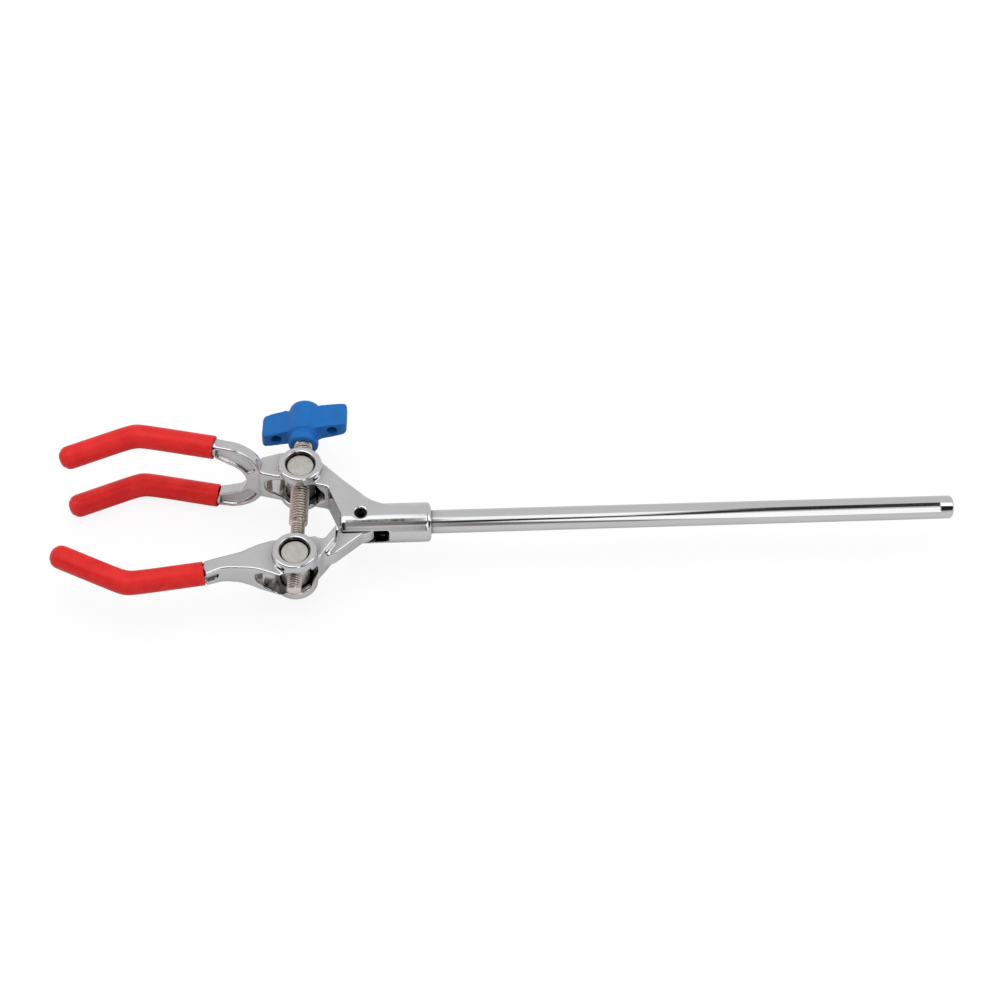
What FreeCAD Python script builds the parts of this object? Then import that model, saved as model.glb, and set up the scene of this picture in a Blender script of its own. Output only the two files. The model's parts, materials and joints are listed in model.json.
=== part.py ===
"""Three-prong laboratory clamp on a support rod, as a parametric document in millimetres.

Every sketch is drawn in the hinge frame: the origin on the hinge axis, +X along the rod
away from the jaws, +Y towards the wing knob and +Z along the hinge pin. Each body's
placement then moves it so that the origin is on the rod's axis, where its full diameter
begins behind the chamfer of the free end.
"""
import FreeCAD, Part
import math
import os
import Sketcher

SIZES = {
    # support rod and its socket
    "rod_diameter": 10.0,
    "rod_free_length": 226.4,
    "rod_spigot_diameter": 9.0,
    "rod_seat_depth": 16.0,
    "rod_end_chamfer": 0.7,
    "fit_gap": 0.02,
    "socket_diameter": 16.8,
    "socket_reach": 29.7,
    "socket_mouth_chamfer": 0.9,
    # hinge between the jaws
    "pin_diameter": 5.0,
    "pin_wall": 1.0,
    "pin_slot_width": 0.9,
    "pin_recess": 1.4,
    "running_gap": 0.05,
    "tongue_height": 7.6,
    "tongue_side_gap": 0.2,
    "tongue_radius": 7.9,
    "tongue_rim_gap": 0.35,
    "slot_reach": 11.5,
    "slot_back": 2.2,
    # trunnions and the bosses that hold them
    "trunnion_radius": 34.75,
    "fixed_trunnion_angle": 44.35,
    "moving_trunnion_angle": 36.98,
    "trunnion_diameter": 12.0,
    "trunnion_recess": 0.6,
    "trunnion_edge_chamfer": 0.5,
    "boss_diameter": 18.6,
    "boss_top": 11.8,
    "fixed_boss_bottom": 10.4,
    "moving_boss_bottom": 11.8,
    "boss_edge_chamfer": 0.5,
    "boss_mouth_chamfer": 0.7,
    "boss_gap_half": 7.0,
    "boss_gap_reach": 7.2,
    "gap_shoulder_half": 6.2,
    "gap_shoulder_reach": 8.2,
    "gap_taper_half": 4.6,
    "gap_taper_reach": 2.9,
    # castings
    "plate_half": 8.3,
    "arm_plate_half": 7.4,
    "arm_width": 13.5,
    "arm_blend_radius": 16.0,
    "fixed_gap_left": 15.4,
    "fixed_gap_right": 9.7,
    "fixed_arm_corner": 11.35,
    "fixed_plate_left": 17.6,
    "moving_gap_left": 16.4,
    "moving_gap_right": 9.4,
    "gap_end_half": 2.2,
    "shank_front_curve": 34.0,
    "shank_groove_half": 1.3,
    "shank_groove_left": 37.6,
    "shank_groove_right": 31.8,
    # fork of the fixed jaw
    "fork_reach": 60.5,
    "fork_offset": 29.9,
    "fork_angle": 13.3,
    "fork_half_spread": 16.8,
    "fork_height": 8.2,
    "fork_width": 5.4,
    "fork_web": 2.0,
    "fork_rim": 1.7,
    "fork_seat": 1.0,
    "fork_crotch_depth": 6.5,
    "fork_shoulder": 5.6,
    "fork_upper_curve": 14.0,
    "fork_lower_curve": 20.0,
    "fork_inner_curve": 40.0,
    "fork_crotch_curve": 9.6,
    "fork_pocket_curve": 16.0,
    # single finger of the moving jaw
    "single_reach": 65.2,
    "single_offset": 23.2,
    "single_angle": 7.7,
    "single_proximal": 32.1,
    "single_distal": 35.6,
    # fingers and sleeves
    "fork_proximal": 34.5,
    "fork_distal": 33.7,
    "finger_bend": 36.0,
    "finger_bend_radius": 10.0,
    "finger_diameter": 7.8,
    "finger_collar": 1.0,
    "finger_tip_gap": 3.5,
    "sleeve_diameter": 10.0,
    "sleeve_bore_gap": 0.05,
    "sleeve_end_gap": 0.2,
    # adjusting screw and knob
    "screw_thick_diameter": 8.0,
    "screw_thin_diameter": 6.0,
    "screw_thick_reach": 22.9,
    "screw_tip_reach": 13.0,
    "screw_step": 1.2,
    "screw_tip_chamfer": 0.8,
    "knob_stand_off": 18.3,
    "knob_length": 22.0,
    "knob_hub_diameter": 14.4,
    "knob_end_round": 2.6,
    "knob_nose_diameter": 10.2,
    "knob_nose_length": 6.2,
    "knob_span": 36.4,
    "knob_wing_depth": 12.1,
    "knob_wing_thickness": 9.4,
    "knob_wing_end_depth": 10.3,
    "knob_wing_end_thickness": 5.2,
    "knob_wing_corner": 1.9,
    "knob_wing_tilt": 16.0,
    "knob_hole_diameter": 4.2,
    "knob_hole_depth": 7.0,
    "knob_hole_spread": 24.4,
    "knob_bore_depth": 14.0,
}


class Size:
    """A size with its value now and the sheet formula that gives it."""

    def __init__(self, value, text):
        self.value = value
        self.text = text

    @staticmethod
    def of(other):
        if isinstance(other, Size):
            return other
        return Size(float(other), repr(float(other)))

    def _with(self, other, sign, value):
        other = Size.of(other)
        return Size(value(self.value, other.value), f"({self.text} {sign} {other.text})")

    def __add__(self, other):
        return self._with(other, "+", lambda a, b: a + b)

    def __sub__(self, other):
        return self._with(other, "-", lambda a, b: a - b)

    def __mul__(self, other):
        return self._with(other, "*", lambda a, b: a * b)

    def __truediv__(self, other):
        return self._with(other, "/", lambda a, b: a / b)

    def __radd__(self, other):
        return Size.of(other) + self

    def __rsub__(self, other):
        return Size.of(other) - self

    __rmul__ = __mul__

    def __neg__(self):
        return Size(-self.value, f"(0 - {self.text})")


def cos(angle):
    return Size(math.cos(math.radians(angle.value)), f"cos({angle.text})")


def sin(angle):
    return Size(math.sin(math.radians(angle.value)), f"sin({angle.text})")


def tan(angle):
    return Size(math.tan(math.radians(angle.value)), f"tan({angle.text})")


def along(start, angle, distance):
    """The point at a distance from start, in the direction of an angle from +X."""
    return (start[0] + distance * cos(angle), start[1] + distance * sin(angle))


doc = FreeCAD.newDocument("ThreeProngClamp")
sheet = doc.addObject("Spreadsheet::Sheet", "Sizes")


def fill_sheet():
    """Writes every driving dimension into the sheet and returns them by name."""
    sizes = {}
    for row, (name, value) in enumerate(SIZES.items(), start=1):
        sheet.set(f"A{row}", name)
        sheet.set(f"B{row}", str(value))
        sheet.setAlias(f"B{row}", name)
        sizes[name] = Size(value, f"Sizes.{name}")
    doc.recompute()
    return sizes


S = fill_sheet()
HINGE_X = -(S["rod_free_length"] + S["socket_reach"] - S["rod_end_chamfer"])


def bind(target, path, size):
    target.setExpression(path, Size.of(size).text)


def new_body(name):
    """An empty body in the hinge frame, moved so that the origin is at the rod's free end."""
    body = doc.addObject("PartDesign::Body", name)
    body.Label = name
    bind(body, "Placement.Base.x", HINGE_X)
    return body


def new_sketch(body, name, plane, offset=(0, 0, 0), turn=None):
    """A sketch on an origin plane of its body, moved and turned in that plane's own axes."""
    sketch = body.newObject("Sketcher::SketchObject", name)
    support = [f for f in body.Origin.OriginFeatures if f.Role == plane][0]
    sketch.AttachmentSupport = [(support, "")]
    sketch.MapMode = "FlatFace"
    if turn is not None:
        axis, angle = turn
        rotation = FreeCAD.Rotation(FreeCAD.Vector(*axis), angle.value)
        sketch.AttachmentOffset = FreeCAD.Placement(FreeCAD.Vector(), rotation)
        bind(sketch, "AttachmentOffset.Rotation.Angle", angle * Size(1.0, "1 deg"))
    for letter, size in zip("xyz", offset):
        bind(sketch, f"AttachmentOffset.Base.{letter}", size)
    return sketch


def fix(sketch, kind, refs, size, name):
    """Adds a dimension to a sketch and binds it to the sheet."""
    size = Size.of(size)
    index = sketch.addConstraint(Sketcher.Constraint(kind, *refs, size.value))
    sketch.renameConstraint(index, name)
    bind(sketch, f"Constraints.{name}", size)


def vector(point):
    return FreeCAD.Vector(Size.of(point[0]).value, Size.of(point[1]).value, 0)


def bulge(start, end, radius):
    """An arc between two points; a positive radius bulges to the right of the way there.

    The arc is always drawn counter-clockwise, so one that bulges left starts at the end.
    """
    chord = end - start
    half = chord.Length / 2
    reach = max(abs(radius), half * 1.0001)
    rise = reach - math.sqrt(reach * reach - half * half)
    side = FreeCAD.Vector(chord.y, -chord.x, 0).normalize() * math.copysign(rise, radius)
    middle = (start + end) / 2 + side
    if radius > 0:
        return Part.Arc(start, middle, end)
    return Part.Arc(end, middle, start)


def radius_of(point):
    """The radius of the arc that ends at an outline point, or None for a line."""
    return Size.of(point[2]) if len(point) == 3 else None


def outline(sketch, points, closed=True, tag="p"):
    """Lines through the points. A point (x, y, r) ends an arc of radius r instead of a line."""
    first = sketch.GeometryCount
    ends = list(points) + ([points[0]] if closed else [])
    starts, stops = [], []
    for here, there in zip(ends, ends[1:]):
        radius = radius_of(there)
        if radius is None:
            sketch.addGeometry(Part.LineSegment(vector(here), vector(there)), False)
        else:
            sketch.addGeometry(bulge(vector(here), vector(there), radius.value), False)
        turned = radius is not None and radius.value < 0
        starts.append(2 if turned else 1)
        stops.append(1 if turned else 2)
    count = len(ends) - 1
    for step in range(count - (0 if closed else 1)):
        after = (step + 1) % count
        sketch.addConstraint(
            Sketcher.Constraint("Coincident", first + step, stops[step], first + after, starts[after])
        )
    for step in range(count):
        name = f"{tag}{step}"
        fix(sketch, "DistanceX", (-1, 1, first + step, starts[step]), ends[step][0], name + "x")
        fix(sketch, "DistanceY", (-1, 1, first + step, starts[step]), ends[step][1], name + "y")
        radius = radius_of(ends[step + 1])
        if radius is not None:
            fix(sketch, "Radius", (first + step,), radius if radius.value > 0 else -radius, name + "r")
    if not closed:
        fix(sketch, "DistanceX", (-1, 1, first + count - 1, stops[-1]), ends[-1][0], tag + "endx")
        fix(sketch, "DistanceY", (-1, 1, first + count - 1, stops[-1]), ends[-1][1], tag + "endy")


def ring(sketch, centre, radius, tag="c"):
    """A full circle at a point of the sketch."""
    radius = Size.of(radius)
    index = sketch.addGeometry(
        Part.Circle(vector(centre), FreeCAD.Vector(0, 0, 1), radius.value), False
    )
    fix(sketch, "Radius", (index,), radius, tag + "r")
    fix(sketch, "DistanceX", (-1, 1, index, 3), centre[0], tag + "x")
    fix(sketch, "DistanceY", (-1, 1, index, 3), centre[1], tag + "y")


def extrude(body, kind, sketch, length, both_ways=True, reverse=False):
    """A Pad or a Pocket of a sketch, to both sides of its plane or to one."""
    feature = body.newObject(f"PartDesign::{kind}", sketch.Name + kind)
    feature.Profile = sketch
    feature.Midplane = both_ways
    feature.Reversed = reverse
    bind(feature, "Length", length)
    sketch.Visibility = False
    return feature


def sweep(body, kind, name, spine, radius, mitred=False):
    """A round bar or bore of one radius along a spine sketch, mitred where the spine has corners."""
    profile = body.newObject("Sketcher::SketchObject", name + "Profile")
    profile.AttachmentSupport = [(spine, "Edge1")]
    profile.MapMode = "NormalToEdge"
    ring(profile, (0, 0), radius)
    doc.recompute()
    pipe = body.newObject(f"PartDesign::{kind}", name)
    pipe.Profile = profile
    pipe.Spine = (spine, [f"Edge{i + 1}" for i in range(spine.GeometryCount)])
    if mitred:
        pipe.Transition = "Right corner"
    return pipe


def circle_edges(shape, centre, radius, heights, reach=0.02):
    """Names of the whole or part circles round a Z axis with that radius, at those heights."""
    names = []
    for index, edge in enumerate(shape.Edges, start=1):
        curve = edge.Curve
        if not isinstance(curve, Part.Circle) or abs(abs(curve.Axis.z) - 1) > 1e-6:
            continue
        flat = FreeCAD.Vector(curve.Center.x, curve.Center.y, 0)
        near = any(abs(curve.Center.z - height) < reach for height in heights)
        if near and (flat - centre).Length < reach and abs(curve.Radius - radius) < reach:
            names.append(f"Edge{index}")
    return names


def dress(body, kind, base, names, size):
    """A Fillet or Chamfer on named edges of the last feature."""
    feature = body.newObject(f"PartDesign::{kind}", base.Name + kind)
    feature.Base = (base, names)
    bind(feature, "Radius" if kind == "Fillet" else "Size", size)
    return feature


HALF = 0.5
FIXED_TRUNNION = (
    -(S["trunnion_radius"] * cos(S["fixed_trunnion_angle"])),
    S["trunnion_radius"] * sin(S["fixed_trunnion_angle"]),
)
MOVING_TRUNNION = (
    -(S["trunnion_radius"] * cos(S["moving_trunnion_angle"])),
    -(S["trunnion_radius"] * sin(S["moving_trunnion_angle"])),
)
# The two trunnion axes lie at one distance from the hinge, so the screw's direction is
# square to the line that halves the angle between them.
HALF_OPENING = (S["fixed_trunnion_angle"] + S["moving_trunnion_angle"]) * HALF
SCREW_TURN = (S["moving_trunnion_angle"] - S["fixed_trunnion_angle"]) * HALF
TRUNNION_DISTANCE = S["trunnion_radius"] * 2 * sin(HALF_OPENING)
BOSS_RADIUS = S["boss_diameter"] * HALF
SOCKET_RADIUS = S["socket_diameter"] * HALF
TONGUE_HALF = S["tongue_height"] * HALF
SLOT_HALF = TONGUE_HALF + S["tongue_side_gap"]
FORK_START = (-S["fork_reach"], S["fork_offset"])
SINGLE_START = (-S["single_reach"], -S["single_offset"])
FORK_WAY = 180 - S["fork_angle"]
SINGLE_WAY = 180 + S["single_angle"]
FIXED_PLATE_LEFT = FIXED_TRUNNION[0] - S["fixed_plate_left"]
# The dome at a sleeve's tip, as shares of its radius: along the finger and across it.
DOME = ((0.48, 0.88), (0.82, 0.58), (1.0, 0.18))


def tip_way(way, bend_side):
    """The direction of a finger past its bend."""
    return way + S["finger_bend"] * bend_side


def finger_core(start, way, proximal, distal, bend_side, shift, short):
    """Points of a finger's own centre line: two runs that meet in a mitred elbow."""
    elbow = along(start, way, proximal)
    return [along(start, way, -shift), elbow, along(elbow, tip_way(way, bend_side), distal - short)]


def sleeve_spine(start, way, proximal, distal, bend_side, short):
    """Points of a sleeve's centre line: a run, a bend arc and a run towards the tip."""
    cut = S["finger_bend_radius"] * tan(S["finger_bend"] * HALF)
    elbow = along(start, way, proximal)
    turned = tip_way(way, bend_side)
    out = along(elbow, turned, cut)
    return [
        start,
        along(elbow, way, -cut),
        (*out, S["finger_bend_radius"] * bend_side),
        along(elbow, turned, distal - short),
    ]


def boss_block(body, name, centre, bottom):
    """Both ring bosses of a jaw as one round block, before the gap for the screw."""
    sketch = new_sketch(body, name, "XY_Plane", (0, 0, -bottom))
    ring(sketch, centre, BOSS_RADIUS)
    return extrude(body, "Pad", sketch, S["boss_top"] + bottom, both_ways=False)


def trunnion_bore(body, name, centre, bottom):
    """The bore through both bosses, with a chamfered mouth and chamfered outer rims."""
    sketch = new_sketch(body, name, "XY_Plane")
    radius = S["trunnion_diameter"] * HALF + S["running_gap"]
    ring(sketch, centre, radius)
    bore = extrude(body, "Pocket", sketch, S["boss_top"] * 4)
    doc.recompute()
    faces = (S["boss_top"].value, -bottom.value)
    names = circle_edges(bore.Shape, vector(centre), radius.value, faces)
    mouth = dress(body, "Chamfer", bore, names, S["boss_mouth_chamfer"])
    doc.recompute()
    names = circle_edges(mouth.Shape, vector(centre), BOSS_RADIUS.value, faces)
    return dress(body, "Chamfer", mouth, names, S["boss_edge_chamfer"])


def screw_gap(body, name, centre, left, right):
    """The gap between the bosses, cut through along Y: wide at the trunnion, tapered at its ends."""
    sketch = new_sketch(body, name, "XZ_Plane")
    x = centre[0]
    top = [
        (x - left, S["gap_end_half"]),
        (x - left + S["gap_taper_reach"], S["gap_taper_half"]),
        (x - S["gap_shoulder_reach"], S["gap_shoulder_half"]),
        (x - S["boss_gap_reach"], S["boss_gap_half"]),
        (x + S["boss_gap_reach"] - 0.8, S["boss_gap_half"]),
        (x + right - S["gap_taper_reach"], S["gap_taper_half"] + 0.8),
        (x + right, S["gap_end_half"]),
    ]
    outline(sketch, top + [(p[0], -p[1]) for p in reversed(top)])
    return extrude(body, "Pocket", sketch, S["fork_offset"] * 4)


def make_fixed_jaw():
    """The casting with the socket, hinge cheeks, upper arm, ring bosses and fork."""
    body = new_body("fixed_fork_jaw")
    cheek_reach = S["socket_diameter"] * HALF
    sketch = new_sketch(body, "SocketRound", "YZ_Plane", (0, 0, -cheek_reach))
    ring(sketch, (0, 0), SOCKET_RADIUS)
    socket = extrude(body, "Pad", sketch, cheek_reach + S["socket_reach"], both_ways=False)
    doc.recompute()
    mouth = [
        f"Edge{i}"
        for i, e in enumerate(socket.Shape.Edges, start=1)
        if isinstance(e.Curve, Part.Circle) and e.Curve.Center.x > 0
    ]
    dress(body, "Chamfer", socket, mouth, S["socket_mouth_chamfer"])

    x, y = FIXED_TRUNNION
    sketch = new_sketch(body, "ArmPlan", "XY_Plane")
    corner = (x + S["fixed_arm_corner"], y + 1.0)
    outline(sketch, [
        (-cheek_reach, 0),
        (x + S["fixed_arm_corner"], y - 10.3),
        (FIXED_PLATE_LEFT, y - 2.2),
        (FIXED_PLATE_LEFT + 0.6, y + 6.7),
        (x - 8.2, y + 9.0),
        (x, y + BOSS_RADIUS - 0.2),
        (x + 5.6, y + BOSS_RADIUS - 2.1),
        corner,
        (-6.1, corner[1] - 8.1),
        (0.4, S["arm_width"] - 2.7),
        (8.6, cheek_reach - 3.2, S["arm_blend_radius"]),
        (14.5, cheek_reach - 6.2),
        (14.5, 0),
    ])
    extrude(body, "Pad", sketch, S["plate_half"] * 2)

    make_fork(body)
    boss_block(body, "FixedBosses", FIXED_TRUNNION, S["fixed_boss_bottom"])
    screw_gap(body, "FixedScrewGap", FIXED_TRUNNION, S["fixed_gap_left"], S["fixed_gap_right"])

    sketch = new_sketch(body, "TongueSlot", "XY_Plane")
    outline(sketch, [
        (-cheek_reach * 2, -cheek_reach * 2),
        (S["slot_reach"], -cheek_reach * 2),
        (S["slot_reach"], S["slot_back"]),
        (-cheek_reach * 2, S["slot_back"]),
    ])
    extrude(body, "Pocket", sketch, SLOT_HALF * 2)
    sketch = new_sketch(body, "TongueRelief", "XY_Plane")
    ring(sketch, (0, 0), S["tongue_radius"] + S["tongue_rim_gap"])
    extrude(body, "Pocket", sketch, SLOT_HALF * 2)

    sketch = new_sketch(body, "PinHole", "XY_Plane")
    ring(sketch, (0, 0), S["pin_diameter"] * HALF + S["fit_gap"])
    extrude(body, "Pocket", sketch, S["plate_half"] * 4)
    sketch = new_sketch(body, "RodSeat", "YZ_Plane", (0, 0, S["socket_reach"] - S["rod_seat_depth"]))
    ring(sketch, (0, 0), S["rod_spigot_diameter"] * HALF + S["fit_gap"])
    extrude(body, "Pocket", sketch, S["rod_seat_depth"] * 2, both_ways=False, reverse=True)
    trunnion_bore(body, "FixedTrunnionBore", FIXED_TRUNNION, S["fixed_boss_bottom"])
    return body


def make_fork(body):
    """The forked end: two arms with a rim outside and inside and a thin web between them."""
    turn = ((0, 1, 0), -S["fork_angle"])
    place = (FORK_START[0], 0, -FORK_START[1])
    spread, rim = S["fork_half_spread"], S["fork_rim"]
    outer, inner = spread + S["fork_height"] * HALF - 0.8, spread - S["fork_height"] * HALF
    root = (S["fork_reach"] + FIXED_PLATE_LEFT) / cos(S["fork_angle"]) + S["fork_seat"]
    throat, shoulder = root - S["fork_crotch_depth"], S["fork_shoulder"]
    neck, neck_end = S["plate_half"], root + S["fork_width"]
    inner_curve = S["fork_inner_curve"]
    sketch = new_sketch(body, "ForkOutline", "XZ_Plane", place, turn)
    outline(sketch, [
        (S["sleeve_end_gap"], outer),
        (S["sleeve_end_gap"], inner - 0.6),
        (throat * 0.5, inner * 0.72, -inner_curve),
        (throat * 0.5, inner * -0.72, -S["fork_crotch_curve"]),
        (S["sleeve_end_gap"], 0.6 - inner, -inner_curve),
        (S["sleeve_end_gap"], -outer),
        (shoulder, 0.2 - outer),
        (root, -neck, S["fork_lower_curve"]),
        (neck_end, -neck),
        (neck_end, neck),
        (root, neck),
        (shoulder, outer - 0.2, S["fork_upper_curve"]),
    ])
    extrude(body, "Pad", sketch, S["fork_width"])
    for side in (1, -1):
        sketch = new_sketch(
            body, "ForkPocket" + ("Far" if side > 0 else "Near"), "XZ_Plane",
            (place[0] + S["fork_web"] * HALF * side * sin(S["fork_angle"]), 0,
             place[2] - S["fork_web"] * HALF * side * cos(S["fork_angle"])), turn)
        curves = ((1, "u", S["fork_upper_curve"]), (-1, "l", S["fork_lower_curve"]))
        for half, tag, outer_curve in curves:
            outline(sketch, [
                (0.0, half * (outer - rim)),
                (0.0, half * (inner - 0.6 + rim)),
                (throat * 0.5 + 1.0, half * (inner * 0.72 + rim), half * -inner_curve),
                (throat + 0.9, half * (inner * 0.30 + rim), half * -S["fork_pocket_curve"]),
                (root - 2.2, half * (neck - 0.4)),
                (shoulder, half * (outer - 0.2 - rim), half * (outer_curve - rim)),
            ], tag=tag)
        extrude(body, "Pocket", sketch, S["fork_width"] * 3, both_ways=False, reverse=side < 0)
    for side in (1, -1):
        name = "Upper" if side > 0 else "Lower"
        spine = new_sketch(body, name + "FingerLine", "XY_Plane", (0, 0, spread * side))
        outline(spine, finger_core(
            FORK_START, FORK_WAY, S["fork_proximal"], S["fork_distal"], 1,
            shift=S["finger_collar"], short=S["finger_tip_gap"]), closed=False)
        sweep(body, "AdditivePipe", name + "Finger", spine, S["finger_diameter"] * HALF, mitred=True)


def make_moving_jaw():
    """The casting with the hinge tongue, lower arm, ring bosses, shank and single finger."""
    body = new_body("moving_jaw")
    x, y = MOVING_TRUNNION
    sketch = new_sketch(body, "TonguePlan", "XY_Plane")
    outline(sketch, [
        (-5.4, S["tongue_radius"] * -0.45),
        (-10.2, -5.3),
        (x + 12.6, y + 8.5),
        (x + S["moving_gap_right"] - 2, y + 6.0),
        (x + S["moving_gap_right"] - 2, y - 0.6),
        (-11.0, -17.6),
        (0.6, -S["tongue_radius"]),
    ])
    extrude(body, "Pad", sketch, S["tongue_height"])
    sketch = new_sketch(body, "TongueEye", "XY_Plane")
    ring(sketch, (0, 0), S["tongue_radius"])
    extrude(body, "Pad", sketch, S["tongue_height"])

    shank_end = along(SINGLE_START, SINGLE_WAY, -S["sleeve_end_gap"])
    sketch = new_sketch(body, "LowerArmPlan", "XY_Plane")
    outline(sketch, [
        (-10.2, -5.3),
        (-10.8, -12.3),
        (x + 9.6, y - 2.1),
        (x + 7.6, y - 5.3),
        (x, y - 7.4),
        (x - 3.6, y - 8.9),
        (x - 6.4, y - 9.9),
        (x - 14.1, y - 6.7),
        (x - 30.6, y - 3.6, S["shank_front_curve"]),
        along(shank_end, SINGLE_WAY + 90, S["finger_diameter"] * HALF - 0.3),
        along(shank_end, SINGLE_WAY - 90, S["finger_diameter"] * HALF - 0.3),
        (x - 22.5, y + 4.6),
        (x - 9.3, y + 8.7),
        (x, y + BOSS_RADIUS - 0.6),
        (x + 5.5, y + 9.9),
        (x + 8.8, y + 10.3),
        (x + 12.5, y + 8.4, 5.0),
    ])
    extrude(body, "Pad", sketch, S["plate_half"] * 2)

    sketch = new_sketch(body, "ShankTaper", "XZ_Plane")
    reach = S["boss_top"] * 1.2
    low_end = (SINGLE_START[0] - 1, S["finger_diameter"] * HALF + 0.1)
    for half, tag in ((1, "u"), (-1, "l")):
        outline(sketch, [
            (low_end[0], half * low_end[1]),
            (x - 31.4, half * 4.9),
            (x - 22.6, half * 5.6),
            (x - 15.0, half * S["arm_plate_half"]),
            (x + BOSS_RADIUS, half * S["arm_plate_half"]),
            (x + 12.0, half * S["plate_half"]),
            (x + 12.0, half * reach),
            (low_end[0], half * reach),
        ], tag=tag)
    extrude(body, "Pocket", sketch, S["fork_offset"] * 4)

    spine = new_sketch(body, "SingleFingerLine", "XY_Plane")
    outline(spine, finger_core(
        SINGLE_START, SINGLE_WAY, S["single_proximal"], S["single_distal"], -1,
        shift=S["finger_collar"], short=S["finger_tip_gap"]), closed=False)
    sweep(body, "AdditivePipe", "SingleFinger", spine, S["finger_diameter"] * HALF, mitred=True)
    sketch = new_sketch(body, "ShankGrooves", "XY_Plane")
    groove_left, groove_right = x - S["shank_groove_left"], x - S["shank_groove_right"]
    for tag, root_left, root_right, rim in (("f", -4.3, -2.0, -8.0), ("b", 1.8, 1.1, 6.0)):
        outline(sketch, [
            (groove_left, y + root_left),
            (groove_right, y + root_right),
            (groove_right, y + rim),
            (groove_left, y + rim),
        ], tag=tag)
    extrude(body, "Pocket", sketch, S["shank_groove_half"] * 2)

    boss_block(body, "MovingBosses", MOVING_TRUNNION, S["moving_boss_bottom"])
    screw_gap(body, "MovingScrewGap", MOVING_TRUNNION, S["moving_gap_left"], S["moving_gap_right"])

    sketch = new_sketch(body, "HingeHole", "XY_Plane")
    ring(sketch, (0, 0), S["pin_diameter"] * HALF + S["running_gap"])
    extrude(body, "Pocket", sketch, S["plate_half"] * 4)
    trunnion_bore(body, "MovingTrunnionBore", MOVING_TRUNNION, S["moving_boss_bottom"])
    return body


def make_rod():
    """The polished rod, turned down to a spigot where it is pressed into the socket."""
    body = new_body("support_rod")
    mouth = S["socket_reach"]
    end = mouth + S["rod_free_length"]
    radius, spigot = S["rod_diameter"] * HALF, S["rod_spigot_diameter"] * HALF
    cut = S["rod_end_chamfer"]
    sketch = new_sketch(body, "RodProfile", "XY_Plane")
    outline(sketch, [
        (mouth - S["rod_seat_depth"], 0),
        (mouth - S["rod_seat_depth"], spigot),
        (mouth, spigot),
        (mouth, radius),
        (end - cut, radius),
        (end, radius - cut),
        (end, 0),
    ])
    turned(body, sketch, axis="H_Axis")
    return body


def make_pin():
    """The rolled spring pin of the hinge, slit along its far side."""
    body = new_body("pivot_pin")
    radius = S["pin_diameter"] * HALF
    half = S["plate_half"] - S["pin_recess"]
    sketch = new_sketch(body, "PinRing", "XY_Plane")
    ring(sketch, (0, 0), radius, "outer")
    ring(sketch, (0, 0), radius - S["pin_wall"], "inner")
    extrude(body, "Pad", sketch, half * 2)
    sketch = new_sketch(body, "PinSlit", "XY_Plane")
    slit = S["pin_slot_width"] * HALF
    outline(sketch, [(-slit, 0), (slit, 0), (slit, radius * 2), (-slit, radius * 2)])
    extrude(body, "Pocket", sketch, half * 4)
    return body


def make_trunnion(name, centre, boss_bottom, bore_diameter):
    """A cross pin with the screw's bore through its middle and chamfered ends."""
    body = new_body(name)
    top, bottom = S["boss_top"] - S["trunnion_recess"], boss_bottom - S["trunnion_recess"]
    sketch = new_sketch(body, name + "Round", "XY_Plane", (0, 0, -bottom))
    radius = S["trunnion_diameter"] * HALF
    ring(sketch, centre, radius)
    pin = extrude(body, "Pad", sketch, top + bottom, both_ways=False)
    doc.recompute()
    heights = (top.value, -bottom.value)
    names = circle_edges(pin.Shape, vector(centre), radius.value, heights)
    dress(body, "Chamfer", pin, names, S["trunnion_edge_chamfer"])
    sketch = new_sketch(body, name + "Bore", "XZ_Plane", (centre[0], 0, -centre[1]), ((0, 1, 0), SCREW_TURN))
    ring(sketch, (0, 0), bore_diameter * HALF + S["running_gap"])
    extrude(body, "Pocket", sketch, S["trunnion_diameter"] * 2)
    return body


def screw_sketch(body, name, plane="XY_Plane"):
    """A sketch whose Y axis is the screw's axis, from the fixed jaw's trunnion outwards."""
    turn = ((0, 0, 1), SCREW_TURN)
    return new_sketch(body, name, plane, (FIXED_TRUNNION[0], FIXED_TRUNNION[1], 0), turn)


def turned(body, sketch, axis="V_Axis"):
    """The sketch turned round its own Y axis, or its X axis."""
    feature = body.newObject("PartDesign::Revolution", sketch.Name + "Revolution")
    feature.Profile = sketch
    feature.ReferenceAxis = (sketch, [axis])
    feature.Angle = 360
    return feature


def make_screw():
    """The two-diameter screw, from its seat in the knob to the chamfered tip."""
    body = new_body("adjusting_screw")
    thick, thin = S["screw_thick_diameter"] * HALF, S["screw_thin_diameter"] * HALF
    top = S["knob_stand_off"] + S["knob_bore_depth"]
    step = -S["screw_thick_reach"]
    tip = -(TRUNNION_DISTANCE + S["screw_tip_reach"])
    cut = S["screw_tip_chamfer"]
    sketch = screw_sketch(body, "ScrewProfile")
    outline(sketch, [
        (0, top),
        (thick, top),
        (thick, step),
        (thin, step - S["screw_step"]),
        (thin, tip + cut),
        (thin - cut, tip),
        (0, tip),
    ])
    turned(body, sketch)
    return body


def wing_edges(shape, plane, reach):
    """Names of the four edges through the thickness at the wings' far ends."""
    to_knob = plane.Placement.inverse()
    names = []
    for index, edge in enumerate(shape.Edges, start=1):
        ends = [to_knob.multVec(v.Point) for v in edge.Vertexes]
        if len(ends) != 2 or any(abs(abs(p.x) - reach) > 0.01 for p in ends):
            continue
        if abs(ends[0].y - ends[1].y) < 0.01 < abs(ends[0].z - ends[1].z):
            names.append(f"Edge{index}")
    return names


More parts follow.
